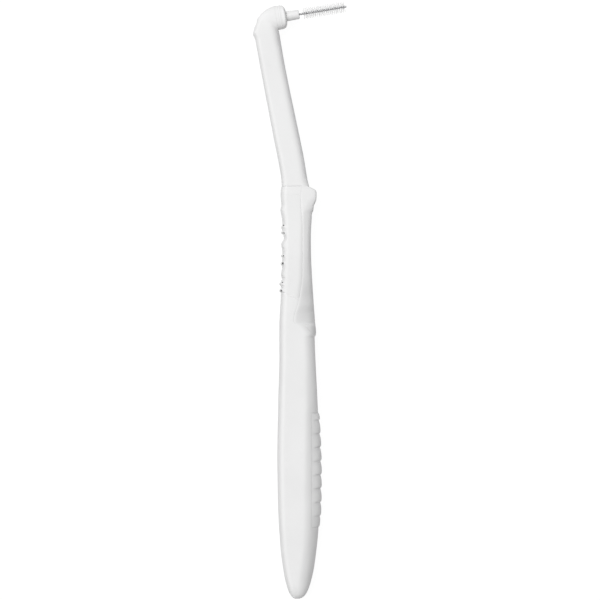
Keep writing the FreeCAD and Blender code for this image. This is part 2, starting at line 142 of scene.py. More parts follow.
# head housing: station on the axis, half height, half thickness
BOSS = [(-5.02, 0.04, 0.04), (-4.96, 0.24, 0.45), (-4.82, 0.50, 0.90), (-4.43, 0.95, 1.45), (-3.83, 1.44, 1.84),
        (-3.25, 1.88, 2.04), (-2.67, 2.24, 2.16), (-2.11, 2.50, 2.22), (-1.57, 2.70, 2.25), (-1.04, 2.84, 2.27),
        (-0.49, 2.97, 2.28), (0.10, 3.02, 2.28), (0.40, 3.02, 2.28)]


# ------------------------------------------------------------------ small tools
def pchip(xs, ys, q):
    xs, ys, q = (np.asarray(v, float) for v in (xs, ys, q))
    order = np.argsort(xs)
    xs, ys = xs[order], ys[order]
    h = np.diff(xs)
    d = np.diff(ys) / h
    m = np.zeros(len(xs))
    for i in range(1, len(xs) - 1):
        if d[i - 1] * d[i] > 0:
            w1, w2 = 2 * h[i] + h[i - 1], h[i] + 2 * h[i - 1]
            m[i] = (w1 + w2) / (w1 / d[i - 1] + w2 / d[i])
    m[0], m[-1] = d[0], d[-1]
    i = np.clip(np.searchsorted(xs, q) - 1, 0, len(xs) - 2)
    t = np.clip((q - xs[i]) / h[i], 0, 1)
    return ((2 * t**3 - 3 * t**2 + 1) * ys[i] + (t**3 - 2 * t**2 + t) * h[i] * m[i]
            + (-2 * t**3 + 3 * t**2) * ys[i + 1] + (t**3 - t**2) * h[i] * m[i + 1])


def evened(table, col, sigma=1.2, lo=END, hi=TOP, keep=6.0):
    """A column of a Y table on a fine grid, evened out a little away from its lower end."""
    ys = np.arange(lo, hi + 1e-9, 0.05)
    raw = pchip(table[:, 0], table[:, col], ys)
    if sigma:
        half = int(4 * sigma / 0.05)
        kernel = np.exp(-0.5 * (np.arange(-half, half + 1) * 0.05 / sigma) ** 2)
        kernel /= kernel.sum()
        padded = np.concatenate([2 * raw[0] - raw[half:0:-1], raw, 2 * raw[-1] - raw[-2:-half - 2:-1]])
        soft = np.convolve(padded, kernel, "valid")
        w = np.clip((ys - lo - keep) / 4.0, 0, 1)
        w = w * w * (3 - 2 * w)
        raw = raw * (1 - w) + soft * w
    return ys, raw


HY, H_REAR = evened(REAR, 1)
_, H_FRONT = evened(FRONT, 1)
trim = np.clip((HY - END) / 6.0, 0, 1)
H_REAR, H_FRONT = H_REAR + 0.05 * trim, H_FRONT - 0.05 * trim
_, H_HALF = evened(HALF, 1)


def rear_x(y):
    return np.interp(y, HY, H_REAR)


def front_x(y):
    return np.interp(y, HY, H_FRONT)


def half_z(y):
    return np.interp(y, HY, H_HALF)


def ring_points(theta, a, b, nr, nf):
    """Points of a superellipse seen at polar angle theta, with its own squareness for each half."""
    c, s = np.cos(theta), np.sin(theta)
    n = np.where(c < 0, nr, nf)
    r = (np.abs(c / a) ** n + np.abs(s / b) ** n) ** (-1.0 / n)
    return r * c, r * s


QN = 121


def side_curve(a, b, fall):
    """Outline of one side of a section, from its edge (a, 0) to the middle of the flat (0, b)."""
    width = min(fall[0], 0.92 * a)
    x = np.linspace(0, a, 400)
    t = np.clip((x - (a - width)) / width, 0, 1)
    slope = np.tan(np.radians(np.interp(t, FALL_AT, (0,) + tuple(fall[1:]))))
    drop = np.concatenate([[0], np.cumsum((slope[1:] + slope[:-1]) / 2 * np.diff(x))])
    drop *= min(1.0, 0.86 * b / drop[-1])
    z = b - drop
    wall = np.linspace(z[-1], 0, 60)[1:]
    px = np.concatenate([[-2.0], x, np.full(59, a), [a]])
    pz = np.concatenate([[b], z, wall, [-z[-1]]])
    s = np.concatenate([[0], np.cumsum(np.hypot(np.diff(px), np.diff(pz)))])
    ds = 0.02
    q = np.arange(0, s[-1], ds)
    fx, fz = np.interp(q, s, px), np.interp(q, s, pz)
    sigma = min(0.26, 0.13 * b, 0.2 * a)
    half = int(3.5 * sigma / ds)
    kernel = np.exp(-0.5 * (np.arange(-half, half + 1) * ds / sigma) ** 2)
    kernel /= kernel.sum()
    fx, fz = np.convolve(fx, kernel, "valid"), np.convolve(fz, kernel, "valid")
    keep = (fx > -0.05) & (fz > -0.02)
    fx, fz = fx[keep], fz[keep]
    fx = fx * a / fx.max()
    fx[0], fz[-1] = 0.0, 0.0
    s = np.concatenate([[0], np.cumsum(np.hypot(np.diff(fx), np.diff(fz)))])
    q = np.linspace(s[-1], 0, QN)
    return np.interp(q, s, fx), np.interp(q, s, fz)


def side_table(ys, a, b, falls):
    """Side curves for many rows, as arrays rows x QN."""
    out = [side_curve(a[i], b[i], falls[i]) for i in range(len(ys))]
    return np.array([o[0] for o in out]), np.array([o[1] for o in out])


class Section:
    """A lengthwise family of sections: at(y, theta) gives points for any row and angle."""

    def __init__(self, ys, rear, front, half, rear_falls, front_falls):
        self.ys = ys
        mid = rear + 0.37 * (front - rear)
        self.mid = mid
        self.rx, self.rz = side_table(ys, mid - rear, half, rear_falls)
        self.fx, self.fz = side_table(ys, front - mid, half, front_falls)

    def at(self, y, theta):
        """y: one per row; theta: rows x cols, 0 at the front edge, pi at the rear edge."""
        pos = np.interp(y, self.ys, np.arange(len(self.ys)))
        i = np.clip(pos.astype(int), 0, len(self.ys) - 2)
        w = (pos - i)[:, None]
        th = np.mod(theta + math.pi, 2 * math.pi) - math.pi
        up = np.sign(th) + (th == 0)
        m = np.abs(th)
        front = m <= math.pi / 2
        q = np.where(front, m, math.pi - m) / (math.pi / 2) * (QN - 1)
        j = np.clip(q.astype(int), 0, QN - 2)
        v = q - j
        rows = i[:, None]

        def pick(fx, rx):
            def row(r):
                return (np.where(front, fx[r, j], rx[r, j]) * (1 - v)
                        + np.where(front, fx[r, j + 1], rx[r, j + 1]) * v)

            return row(rows) * (1 - w) + row(rows + 1) * w

        x = pick(self.fx, -self.rx)
        z = pick(self.fz, self.rz) * up
        mid = (self.mid[i] * (1 - w[:, 0]) + self.mid[i + 1] * w[:, 0])[:, None]
        return x + mid, z


def new_object(name, verts, faces):
    mesh = bpy.data.meshes.new(name)
    mesh.from_pydata([tuple(v) for v in verts], [], [tuple(f) for f in faces])
    mesh.validate()
    obj = bpy.data.objects.new(name, mesh)
    bpy.context.scene.collection.objects.link(obj)
    return obj


def tidy(obj, angle=40.0, merge=1e-7, cut=False):
    """Merges doubles, drops folded slivers, points the normals outward, creases at sharp turns."""
    bm = bmesh.new()
    bm.from_mesh(obj.data)
    bmesh.ops.remove_doubles(bm, verts=bm.verts, dist=merge)
    bmesh.ops.dissolve_degenerate(bm, edges=bm.edges, dist=merge)
    bmesh.ops.triangulate(bm, faces=[f for f in bm.faces if len(f.verts) > (3 if cut else 4)])
    seen, twins = {}, set()
    for f in bm.faces:
        key = frozenset(v.index for v in f.verts)
        if key in seen:
            twins.update((f, seen[key]))
        seen[key] = f
    if twins:
        bmesh.ops.delete(bm, geom=list(twins), context="FACES")
    bmesh.ops.recalc_face_normals(bm, faces=bm.faces)
    if bm.calc_volume(signed=True) < 0:
        bmesh.ops.reverse_faces(bm, faces=bm.faces)
    limit = math.radians(angle)
    for f in bm.faces:
        f.smooth = True
    for e in bm.edges:
        e.smooth = not (len(e.link_faces) == 2 and e.calc_face_angle(0.0) > limit)
    bm.to_mesh(obj.data)
    bm.free()
    obj.data.update()
    return obj


def ring_faces(rows, cols, start=0, closed=True):
    faces = []
    span = cols if closed else cols - 1
    for i in range(rows - 1):
        a = start + i * cols
        for j in range(span):
            k = (j + 1) % cols
            faces.append((a + j, a + k, a + cols + k, a + cols + j))
    return faces


def tube_object(name, grid, caps=True):
    """Closed skin from rows of rings, in mm."""
    rows, cols = grid.shape[:2]
    verts = (grid.reshape(-1, 3) + SHIFT) * MM
    faces = ring_faces(rows, cols)
    verts = list(verts)
    if caps:
        for row in (0, rows - 1):
            verts.append(np.mean(np.array(verts[row * cols:(row + 1) * cols]), axis=0))
            centre = len(verts) - 1
            for j in range(cols):
                faces.append((row * cols + j, row * cols + (j + 1) % cols, centre))
    return tidy(new_object(name, verts, faces))


def shell_object(name, outer, inner):
    """Closed shell between two open grids of the same size, in mm."""
    rows, cols = outer.shape[:2]
    verts = (np.concatenate([outer.reshape(-1, 3), inner.reshape(-1, 3)]) + SHIFT) * MM
    n = rows * cols
    faces = ring_faces(rows, cols, 0, False) + ring_faces(rows, cols, n, False)
    loop = ([(0, j) for j in range(cols)] + [(i, cols - 1) for i in range(1, rows)]
            + [(rows - 1, j) for j in range(cols - 2, -1, -1)] + [(i, 0) for i in range(rows - 2, 0, -1)])
    for (i0, j0), (i1, j1) in zip(loop, loop[1:] + loop[:1]):
        a, b = i0 * cols + j0, i1 * cols + j1
        faces.append((a, b, n + b, n + a))
    return tidy(new_object(name, verts, faces))


def grid_normals(grid, closed):
    """Outward unit normals of a grid of rings."""
    dv = np.gradient(grid, axis=0)
    if closed:
        du = (np.roll(grid, -1, axis=1) - np.roll(grid, 1, axis=1)) / 2
    else:
        du = np.gradient(grid, axis=1)
    n = np.cross(du, dv)
    n /= np.maximum(np.linalg.norm(n, axis=2, keepdims=True), 1e-12)
    return n


def line_distance(px, py, line):
    """Distance in the XY plane from points to a polyline."""
    best = np.full(px.shape, 1e9)
    for (x0, y0), (x1, y1) in zip(line[:-1], line[1:]):
        dx, dy = x1 - x0, y1 - y0
        t = np.clip(((px - x0) * dx + (py - y0) * dy) / (dx * dx + dy * dy), 0, 1)
        best = np.minimum(best, np.hypot(px - x0 - t * dx, py - y0 - t * dy))
    return best


def dense(line, step=0.1, by=1):
    """A smooth polyline through the points of a line whose Y falls."""
    pts = np.asarray(line, float)
    s = np.concatenate([[0], np.cumsum(np.hypot(*np.diff(pts, axis=0).T))])
    q = np.arange(0, s[-1], step)
    q = np.append(q, s[-1])
    # cubic through the chord lengths
    return np.stack([pchip(s, pts[:, 0], q), pchip(s, pts[:, 1], q)], axis=1)


def turned(name, profile, cols=96):
    """Solid of revolution about the brush axis."""
    ang = np.linspace(0, 2 * math.pi, cols, endpoint=False)
    rings = []
    for t, r in profile:
        r = max(r, 1e-5)
        rings.append(SEAT + D * t + r * (np.cos(ang)[:, None] * ACROSS + np.sin(ang)[:, None] * ZAX))
    return tube_object(name, np.array(rings))


def oval(name, profile, n, cols=112):
    """Solid along the brush axis from (station, half height, half thickness) rows, n its squareness."""
    ang = np.linspace(0, 2 * math.pi, cols, endpoint=False)
    rings = []
    for t, r, rz in profile:
        q, z = ring_points(ang, max(r, 1e-4), max(rz, 1e-4), n, n)
        rings.append(SEAT + D * t + q[:, None] * ACROSS + z[:, None] * ZAX)
    return tube_object(name, np.array(rings))


def rounded(profile, steps=5, amount=0.35):
    """Profile points with their corners cut round (Chaikin), ends kept."""
    pts = [np.array(p, float) for p in profile]
    for _ in range(steps):
        out = [pts[0]]
        for a, b in zip(pts, pts[1:]):
            out += [a * 0.75 + b * 0.25, a * 0.25 + b * 0.75]
        out.append(pts[-1])
        pts = out
    return [tuple(p) for p in pts]


def join(objs, name):
    bpy.ops.object.select_all(action="DESELECT")
    for o in objs:
        o.select_set(True)
    bpy.context.view_layer.objects.active = objs[0]
    bpy.ops.object.join()
    objs[0].name = objs[0].data.name = name
    return objs[0]


def apply_modifiers(obj):
    deps = bpy.context.evaluated_depsgraph_get()
    mesh = bpy.data.meshes.new_from_object(obj.evaluated_get(deps))
    old = obj.data
    obj.modifiers.clear()
    obj.data = mesh
    bpy.data.meshes.remove(old)
    obj.data.name = obj.name
    return obj


# ------------------------------------------------------------------ camera first
FRAME_MM = 600 * 0.2532
camera_data = bpy.data.cameras.new("camera")
camera_data.lens = 120.0
camera_data.sensor_width = 36.0
camera_data.sensor_fit = "HORIZONTAL"
camera_data.clip_start, camera_data.clip_end = 0.01, 50.0
camera = bpy.data.objects.new("camera", camera_data)
bpy.context.scene.collection.objects.link(camera)
camera.location = (SHIFT[0] * MM, SHIFT[1] * MM, (ZM + FRAME_MM / 36.0 * 120.0) * MM)
camera.rotation_euler = (0.0, 0.0, 0.0)
bpy.context.scene.camera = camera


# ------------------------------------------------------------------ materials
def node(tree, kind, **values):
    n = tree.nodes.new(kind)
    for key, value in values.items():
        if key in n.inputs:
            n.inputs[key].default_value = value
        else:
            setattr(n, key, value)
    return n


def plastic(name, low, high, rough, bump, grain, spec=0.5, coat=0.0, rough_var=0.05, cloud=90.0):
    """Moulded white plastic or soft grip: faint cloudy tone, fine grain in the surface, uneven gloss."""
    mat = bpy.data.materials.new(name)
    mat.use_nodes = True
    tree = mat.node_tree
    shader = tree.nodes["Principled BSDF"]
    shader.inputs["IOR"].default_value = 1.5
    shader.inputs["Specular IOR Level"].default_value = spec
    if coat:
        shader.inputs["Coat Weight"].default_value = coat
        shader.inputs["Coat Roughness"].default_value = 0.12
    where = node(tree, "ShaderNodeTexCoord")
    clouds = node(tree, "ShaderNodeTexNoise", Scale=cloud, Detail=4.0, Roughness=0.55)
    tree.links.new(where.outputs["Object"], clouds.inputs["Vector"])
    ramp = node(tree, "ShaderNodeValToRGB")
    ramp.color_ramp.elements[0].position, ramp.color_ramp.elements[1].position = 0.3, 0.7
    ramp.color_ramp.elements[0].color = (*low, 1)
    ramp.color_ramp.elements[1].color = (*high, 1)
    tree.links.new(clouds.outputs["Fac"], ramp.inputs["Fac"])
    tree.links.new(ramp.outputs["Color"], shader.inputs["Base Color"])
    fine = node(tree, "ShaderNodeTexNoise", Scale=grain, Detail=3.0, Roughness=0.6)
    tree.links.new(where.outputs["Object"], fine.inputs["Vector"])
    spread = node(tree, "ShaderNodeMapRange")
    spread.inputs["To Min"].default_value = rough - rough_var
    spread.inputs["To Max"].default_value = rough + rough_var
    tree.links.new(clouds.outputs["Fac"], spread.inputs["Value"])
    tree.links.new(spread.outputs["Result"], shader.inputs["Roughness"])
    bumps = node(tree, "ShaderNodeBump", Strength=bump, Distance=0.00003)
    tree.links.new(fine.outputs["Fac"], bumps.inputs["Height"])
    tree.links.new(bumps.outputs["Normal"], shader.inputs["Normal"])
    return mat


hard_white = plastic("hard_white", (0.825, 0.825, 0.825), (0.855, 0.855, 0.855), 0.42, 0.25, 2600.0, spec=0.22)
soft_white = plastic("soft_white", (0.825, 0.825, 0.825), (0.855, 0.855, 0.855), 0.58, 0.5, 4200.0, spec=0.22)
insert_white = plastic("insert_white", (0.835, 0.835, 0.835), (0.865, 0.865, 0.865), 0.40, 0.2, 3000.0, spec=0.22)
nylon = plastic("nylon", (0.93, 0.93, 0.93), (0.96, 0.96, 0.96), 0.35, 0.1, 5000.0)
clear = node(nylon.node_tree, "ShaderNodeMapRange")
clear.inputs["To Min"].default_value, clear.inputs["To Max"].default_value = 0.18, 0.31
nylon.node_tree.links.new(next(n for n in nylon.node_tree.nodes if n.bl_idname == "ShaderNodeTexNoise").outputs["Fac"],
                          clear.inputs["Value"])
nylon.node_tree.links.new(clear.outputs["Result"], nylon.node_tree.nodes["Principled BSDF"].inputs["Alpha"])

steel = bpy.data.materials.new("steel_wire")
steel.use_nodes = True
tree = steel.node_tree
shader = tree.nodes["Principled BSDF"]
shader.inputs["Metallic"].default_value = 1.0
where = node(tree, "ShaderNodeTexCoord")
streak = node(tree, "ShaderNodeTexNoise", Scale=1800.0, Detail=3.0, Roughness=0.6)
tree.links.new(where.outputs["Object"], streak.inputs["Vector"])
tone = node(tree, "ShaderNodeValToRGB")
tone.color_ramp.elements[0].color = (0.56, 0.56, 0.57, 1)
tone.color_ramp.elements[1].color = (0.70, 0.70, 0.71, 1)
tree.links.new(streak.outputs["Fac"], tone.inputs["Fac"])
tree.links.new(tone.outputs["Color"], shader.inputs["Base Color"])
gloss = node(tree, "ShaderNodeMapRange")
gloss.inputs["To Min"].default_value, gloss.inputs["To Max"].default_value = 0.22, 0.36
tree.links.new(streak.outputs["Fac"], gloss.inputs["Value"])
tree.links.new(gloss.outputs["Result"], shader.inputs["Roughness"])


def dress(obj, mat, body, slot, *nodes):
    obj.data.materials.clear()
    obj.data.materials.append(mat)
    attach(obj, body)
    if nodes:
        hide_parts(*nodes)


# ------------------------------------------------------------------ handle body
pad_line = dense(PAD_LINE, 0.06)
pad_line = pad_line[np.argsort(-pad_line[:, 1])]
COARSE_LINE = pad_line[::4]
PAD_LOW = float(pad_line[-1, 1])


def line_x(y):
    return np.interp(-np.asarray(y, float), -pad_line[:, 1], pad_line[:, 0])


def rear_bottom(x):
    return np.interp(x, REAR_LOW[:, 0], REAR_LOW[:, 1])


def ease(t):
    t = np.clip(t, 0, 1)
    return t * t * (3 - 2 * t)


def falls_at(ys):
    cols_ = [pchip(FALL[:, 0], FALL[:, k], ys) for k in range(1, 8)]
    return list(zip(*cols_))


def family(ys, front):
    half = np.minimum(half_z(ys), ZM)
    return Section(ys, rear_x(ys), front, half, [REAR_FALL] * len(ys), falls_at(ys))


BODY_YS = np.unique(np.concatenate([END + np.array([0, 0.03, 0.08, 0.15, 0.25, 0.4, 0.6, 0.85, 1.15, 1.5, 2.0, 2.6]),
                                    np.arange(-72.5, TOP, 0.5), [-9.22, -9.18, TOP]]))
PAD_YS = np.unique(np.concatenate([np.arange(-9.6, 20.0, 0.3), np.arange(20.0, 28.7, 0.12), [28.70]]))
pad_edge = pchip(PAD_FRONT[:, 0], PAD_FRONT[:, 1], BODY_YS)
meet = np.where(BODY_YS > -9.2, np.clip((-4.2 - BODY_YS) / 1.4, 0, 1), 0.0)
BODY = family(BODY_YS, front_x(BODY_YS) * (1 - meet) + pad_edge * meet)
PAD = family(PAD_YS, np.where(PAD_YS < -9.2, front_x(PAD_YS), pchip(PAD_FRONT[:, 0], PAD_FRONT[:, 1], PAD_YS)))


def skin(y, theta, of=None):
    """Rows of points of the handle's plain skin at heights y; theta is rows x cols."""
    y = np.asarray(y, float)
    x, z = (of or BODY).at(y, theta)
    return np.stack([x, np.broadcast_to(y[:, None], x.shape), z + ZM], axis=2)


def pad_depth(x, y):
    """Distance inside the edge of the finger pad, negative outside."""
    d = line_distance(x, y, COARSE_LINE)
    return np.where((x > line_x(y)) & (y > PAD_LOW), d, -d)


def theta_at(y, x_line, of=None):
    """Angle where each row's ring crosses x = x_line (upper side)."""
    t = np.linspace(0.02, math.pi - 0.02, 721)
    grid = skin(y, np.tile(t, (len(y), 1)), of)
    return np.array([np.interp(-x_line[i], -grid[i, :, 0], t) for i in range(len(y))])


tail = END + np.array([0.0, 0.02, 0.06, 0.12, 0.2, 0.3, 0.42, 0.56, 0.72, 0.9, 1.1, 1.32, 1.56, 1.82, 2.1, 2.4, 2.72])
body_y = np.unique(np.round(np.concatenate([
    tail, np.arange(-72.4, -57.6, 0.4), np.arange(-57.6, -27.8, 0.3), np.arange(-27.8, -10.0, 0.5),
    np.arange(-10.0, TOP - 0.25, 0.2), [TOP - 0.16, TOP - 0.11, TOP - 0.07, TOP - 0.04, TOP - 0.02, TOP - 0.005, TOP]]), 4))
cols = 208
theta = np.tile(np.linspace(0, 2 * math.pi, cols, endpoint=False), (len(body_y), 1))
grid = skin(body_y, theta)
GX, GY = grid[:, :, 0], grid[:, :, 1]
in_front = pad_depth(GX, GY)
in_rear = np.minimum(np.minimum(-in_front, REAR_TOP - GY), GY - rear_bottom(GX))
in_palm = np.minimum(GX - PALM_INNER, np.minimum(LOBE_Y[0] - GY, GY - LOBE_Y[-1]))
seat_in = np.maximum(in_front, np.maximum(in_rear, in_palm))
deep = 0.30 * np.clip((seat_in - 0.02) / 0.28, 0, 1) + 0.75 * ease((np.minimum(in_rear, 22.0 - GY) - 0.5) / 0.9)
edge = np.clip((GY - (TOP - 0.14)) / 0.14, 0, 1)
deep = np.maximum(deep, 0.07 * (1 - np.sqrt(np.clip(1 - edge**2, 0, 1))))
normal = grid_normals(grid, True)
if normal[len(body_y) // 2, 0, 0] < 0:
    normal = -normal
normal[:, :, 1] *= np.where(np.abs(GY) < 75, 1.0, 0.0)
grid = grid - normal * deep[:, :, None]
grid[:, :, 1] = np.where(GY > TOP - 0.3, GY, grid[:, :, 1])
handle = tube_object("handle_shell", grid)
dress(handle, hard_white, "handle", "hard_plastic", "handle_body")


# ------------------------------------------------------------------ pads
def pad_offset(d, proud, sink=-0.16, w=0.20):
    """How far a pad stands off the skin at distance d from its edge."""
    t = np.clip(d / w, 0, 1)
    return sink + (proud - sink) * np.sqrt(np.clip(1 - (1 - t) ** 2, 0, 1))


def flush_offset(d, sink=-0.05, w=0.45):
    """A pad edge that only dips a little below the skin beside it."""
    return sink * (1 - np.clip(d / w, 0, 1)) ** 2


def outward(grid, sign):
    n = grid_normals(grid, False)
    return n if n[grid.shape[0] // 2, grid.shape[1] // 2, 0] * sign > 0 else -n


def clamp_flats(outer, inner):
    outer[:, :, 2] = np.clip(outer[:, :, 2], 0.0, THICK)
    inner[:, :, 2] = np.clip(inner[:, :, 2], 0.5, THICK - 0.5)


# front pad
fy = np.unique(np.round(np.concatenate([
    np.arange(PAD_LOW, -5.2, 0.06), np.arange(-5.2, 20.8, 0.2), np.arange(20.8, 28.2, 0.10),
    np.arange(28.2, 28.705, 0.04), [28.70]]), 4))[::-1]
f_theta = theta_at(fy, line_x(fy), PAD)
fcols = 110
u = np.linspace(-1, 1, fcols)
u = np.sign(u) * (1 - (1 - np.abs(u)) ** 1.35)
base = skin(fy, f_theta[:, None] * u[None, :], PAD)
d = np.maximum(pad_depth(base[:, :, 0], base[:, :, 1]), 0)
normal = outward(base, 1)
d = np.minimum(d, 28.72 - base[:, :, 1])
off = flush_offset(d)
outer = base + normal * off[:, :, None]
outer[:, :, 1] = np.minimum(outer[:, :, 1], 28.74)
inner = base - normal * 0.9
clamp_flats(outer, inner)
front_pad = shell_object("finger_pad", outer, inner)
dress(front_pad, soft_white, "handle", "soft_grip", "front_finger_pad")

# rear thumb grip: wavy back with three pairs of ribs
rcols = 110
rows = 420
ru = np.linspace(-1, 1, rcols)
ru = np.sign(ru) * (1 - (1 - np.abs(ru)) ** 1.25)
probe_y = np.arange(28.0, -1.01, -0.25)
probe_t = theta_at(probe_y, line_x(probe_y) - 0.03)
mid_y = np.full(1, 1.4)
t_line = theta_at(mid_y, line_x(mid_y))[0]
low_ring = skin(mid_y, (math.pi + ru * (math.pi - t_line))[None, :])
low_y = rear_bottom(low_ring[0, :, 0])
ry = REAR_TOP + (low_y[None, :] - REAR_TOP) * np.linspace(0, 1, rows)[:, None]
flat_y = ry.reshape(-1)
tl = np.interp(-flat_y, -probe_y, probe_t)
ang = math.pi + np.tile(ru, rows) * (math.pi - tl)
base = skin(flat_y, ang[:, None]).reshape(rows, rcols, 3)
normal = outward(base, -1)
X, Y = base[:, :, 0], base[:, :, 1]
d = np.minimum(line_distance(X, Y, COARSE_LINE), REAR_TOP + 0.02 - Y)
d = np.minimum(d, line_distance(X, Y, REAR_LOW))
back = X - np.interp(Y, HY, H_REAR)            # distance in from the rear edge
reach = ease(1 - (back - 0.35) / 0.75)
wave = pchip(GRIP[:, 0], GRIP[:, 1], Y) * ease(1 - (back - 0.4) / 1.1)
ribs = np.zeros(Y.shape)
for y0, h, w_ in RIBS:
    t = np.abs(Y - y0) / w_
    ribs = ribs + reach * h * np.exp(-np.log(2.0) * (t / 0.72) ** 2.6)
off = pad_offset(d, 0.0) + ribs
outer = base + normal * off[:, :, None] - np.array([1.0, 0.0, 0.0]) * wave[:, :, None]
inner = base - normal * 1.5
clamp_flats(outer, inner)
rear_pad = shell_object("thumb_grip", outer, inner)
# small blind holes at the ends of the ribs, sunk from both flats
hole_ang = np.linspace(0, 2 * math.pi, 28, endpoint=False)
drills = []
for y0, at, r0, long_ in HOLES:
    centre = np.array([rear_x(y0) + at, y0, ZM])
    for side_ in (-1, 1):
        rings = [centre + ZAX * side_ * h + r0 * f * (np.cos(hole_ang)[:, None] * np.array([1.0, 0, 0])
                                                      + np.sin(hole_ang)[:, None] * np.array([0, long_, 0]))
                 for h, f in ((0.7, 0.6), (0.8, 0.8), (1.1, 0.9), (3.0, 1.0), (4.8, 1.10))]
        drills.append(tube_object("drill", np.array(rings)))
drill = join(drills, "drill")
cut = rear_pad.modifiers.new("cut", "BOOLEAN")
cut.operation, cut.solver, cut.object = "DIFFERENCE", "EXACT", drill
apply_modifiers(rear_pad)
bpy.data.objects.remove(drill)
tidy(rear_pad, cut=True)
dress(rear_pad, soft_white, "handle", "soft_grip", "rear_thumb_grip")

# palm pad with shingle lobes
ends = np.array(LOBE_Y)
py_ = np.linspace(ends[0], ends[-1], 560)
which = np.clip(np.searchsorted(-ends, -py_, side="right") - 1, 0, len(ends) - 2)
frac = np.clip((ends[which] - py_) / (ends[which] - ends[which + 1]), 0, 1)
lobe = pchip([0.0, 0.10, 0.30, 0.55, 0.78, 0.90, 0.97, 1.0], [0.08, 0.20, 0.36, 0.45, 0.46, 0.38, 0.20, 0.08], frac)
lobe = lobe * np.interp(py_, [-57.4, -54.6, -51.0, -34.5, -30.5, -28.5], [0.55, 0.9, 1.0, 1.0, 0.9, 0.95])
p_theta = theta_at(py_, np.full(len(py_), PALM_INNER))
pcols = 84
base = skin(py_, p_theta[:, None] * np.linspace(-1, 1, pcols)[None, :])
normal = outward(base, 1)
inward = base[:, :, 0] - PALM_INNER
d = np.maximum(np.minimum(inward, np.minimum(ends[0] + 0.02 - base[:, :, 1], base[:, :, 1] - ends[-1] + 0.02)), 0)
rise = ease(inward / 2.0)
off = flush_offset(inward, -0.04, 0.4) + pad_offset(np.minimum(ends[0] + 0.02 - base[:, :, 1], base[:, :, 1] - ends[-1] + 0.02).clip(0), 0.0) + lobe[:, None] * rise * np.clip(d / 0.12, 0, 1)
outer = base + normal * off[:, :, None]
inner = base - normal * 0.8
palm = shell_object("palm_lobes", outer, inner)
dress(palm, soft_white, "handle", "soft_grip", "palm_pad")

# ------------------------------------------------------------------ neck and head housing
along_v = (NECK_HIGH - NECK_LOW) / np.linalg.norm(NECK_HIGH - NECK_LOW)
side_v = np.array([along_v[1], -along_v[0], 0.0])
ss = np.concatenate([np.arange(-0.02, 37.9, 0.4), np.arange(38, 44.6, 0.15), [44.6]])
nl, nr, nb = (pchip(NECK[:, 0], NECK[:, i], ss) for i in (1, 2, 3))
ncols = 128
ang = np.linspace(0, 2 * math.pi, ncols, endpoint=False)
stem = Section(ss, nl, nr, nb, [NECK_REAR] * len(ss),
               [tuple(p + (q - p) * min(max((s - 34.5) / 4.0, 0), 1) + (l - p) * min(max((2.2 - s) / 1.7, 0), 1)
                      for l, p, q in zip(NECK_FRONT_LOW, NECK_FRONT, NECK_FRONT_TOP)) for s in ss])
qx, qz = stem.at(ss, np.tile(ang, (len(ss), 1)))
rings = []
for k, s in enumerate(ss):
    rings.append(NECK_LOW + along_v * s + qx[k][:, None] * side_v + qz[k][:, None] * ZAX)
rings = np.array(rings)
# the lower end is square to the handle, at the joint line
low_rows = 8
for i in range(low_rows):
    w = 1 - i / low_rows
    delta = (TOP + ss[i] * along_v[1]) - rings[i][:, 1]
    shift = np.clip(delta, -3, 3) * w
    rings[i] += (shift / along_v[1])[:, None] * along_v
neck_skin = tube_object("neck_skin", rings)
boss = oval("head_boss", rounded(BOSS, 2), 2.8)
neck = join([neck_skin, boss], "neck")
remesh = neck.modifiers.new("remesh", "REMESH")
remesh.mode = "VOXEL"
remesh.voxel_size = 0.00013
remesh.use_smooth_shade = True
soften = neck.modifiers.new("soften", "SMOOTH")
soften.factor, soften.iterations = 0.5, 16
apply_modifiers(neck)
cutter = turned("seat_cutter", [(-0.012, 0.0), (-0.012, 3.40), (6.0, 3.40), (6.0, 0.0)])
socket = turned("socket_cutter", [(-3.75, 0.0), (-3.75, 1.27), (-3.70, 1.29), (-0.30, 1.29), (-0.02, 1.48), (1.0, 1.6), (1.0, 0.0)])
for tool in (cutter, socket):
    cut = neck.modifiers.new("cut", "BOOLEAN")
    cut.operation, cut.solver, cut.object = "DIFFERENCE", "EXACT", tool
    apply_modifiers(neck)
    bpy.data.objects.remove(tool)
tidy(neck, 38, cut=True)
dress(neck, hard_white, "handle", "hard_plastic", "neck_stem")

# ------------------------------------------------------------------ brush insert
collar_profile = [(0.0, 0.6), (0.0, 2.99), (0.008, 3.02), (0.04, 3.03), (0.34, 3.04), (0.66, 3.04), (0.74, 3.00), (0.80, 2.99),
                  (0.86, 3.00), (0.94, 3.03), (1.16, 3.015), (1.24, 2.97), (1.30, 2.955), (1.36, 2.965), (1.46, 2.96),
                  (1.66, 2.90), (1.87, 2.81), (2.08, 2.67), (2.25, 2.47), (2.40, 2.15), (2.52, 1.80), (2.59, 1.50),
                  (2.61, 1.25), (2.61, 1.05)]
collar_profile = rounded([(t, r, r * (0.76 + 0.24 * min(max((t - 1.6) / 0.9, 0), 1))) for t, r in collar_profile], 2)
hub_parts = [oval("hub_collar", collar_profile, 2.5)]
plug = [(-3.60, 0.0), (-3.60, 0.86), (-3.52, 1.02), (-3.42, 1.10)]
for t in (-3.2, -1.9, -0.6):
    plug += [(t - 0.32, 1.17), (t - 0.22, 1.225), (t, 1.24), (t + 0.22, 1.225), (t + 0.32, 1.17)]
plug += [(0.25, 1.17), (0.25, 0.0)]
hub_parts.append(turned("hub_plug", plug, 64))
hub = join(hub_parts, "insert_hub")
tidy(hub, 45)
dress(hub, insert_white, "brush_insert", "insert_plastic", "brush_hub")

